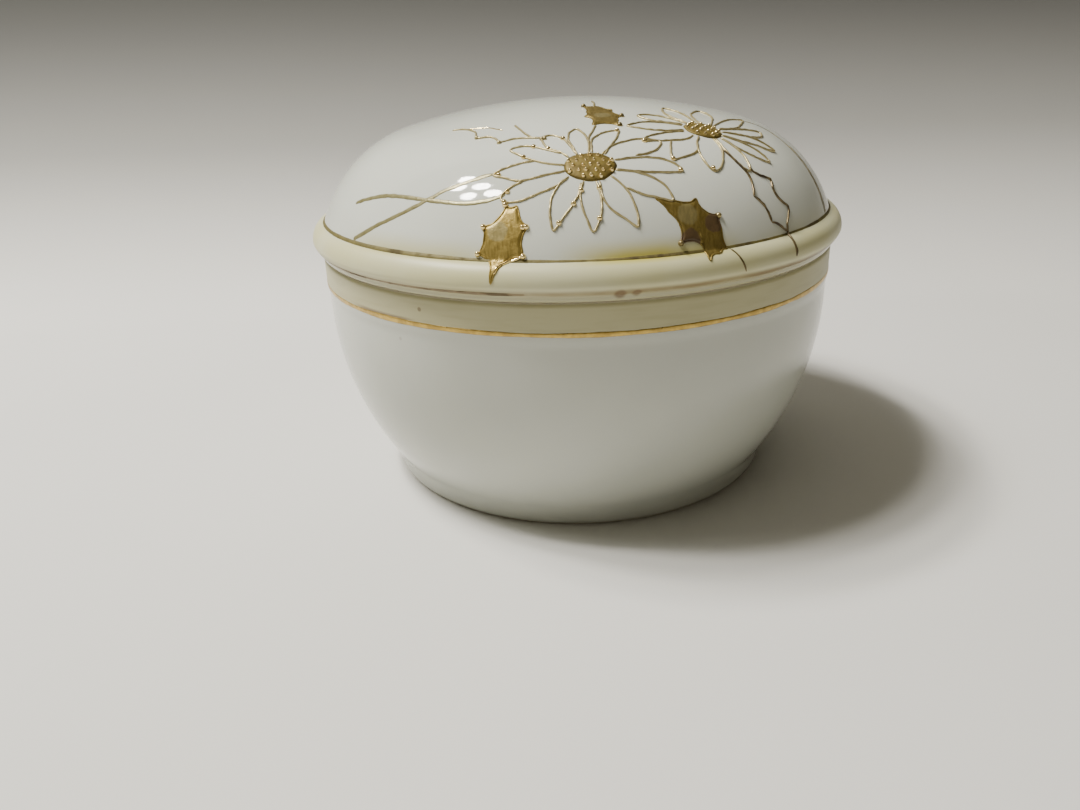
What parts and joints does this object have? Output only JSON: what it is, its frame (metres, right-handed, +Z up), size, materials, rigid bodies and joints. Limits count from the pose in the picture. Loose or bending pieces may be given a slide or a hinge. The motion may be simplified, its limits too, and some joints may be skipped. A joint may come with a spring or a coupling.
{
  "type": "porcelain trinket box",
  "caption": "Small round porcelain box on a foot ring with a domed lift-off lid, gold lines and raised gilt daisies, for trinkets or powder.",
  "frame": {"origin": "middle of the foot ring at the surface it stands on", "axes": "+Z up along the turning axis of bowl and lid; -Y is the decorated front; +X to the right of someone facing that front"},
  "size_m": [0.09, 0.09, 0.0624],
  "materials": {
    "porcelain": "glossy clear glaze over white porcelain, cream tinted bands at lid edge and bowl top",
    "bright_gold": "bright liquid gold line, slightly worn",
    "worn_gold": "brownish worn gold line",
    "raised_gold": "raised gilt paste lines and beads",
    "leaf_gold": "brushed gilt leaf with paler and darker patches"
  },
  "bodies": {
    "bowl": {"bowl": "porcelain", "bowl_gold_line": "bright_gold"},
    "lid": {"lid": "porcelain", "lid_gold_line": "worn_gold", "lid_edge_line": "worn_gold", "large_daisy_eye": "raised_gold", "large_daisy_petals": "raised_gold", "small_daisy_eye": "raised_gold", "small_daisy_petals": "raised_gold", "left_leaf": "leaf_gold", "right_leaf": "leaf_gold", "back_leaf": "leaf_gold", "outlined_leaf": "raised_gold", "left_stems": "raised_gold", "back_twig": "raised_gold", "right_stem": "raised_gold", "back_stem": "raised_gold"}
  },
  "joints": [
    {"name": "lid_lift", "type": "slide", "parent": "bowl", "child": "lid", "axis": [0, 0, 1], "range_m": [0, 0.07]}
  ]
}
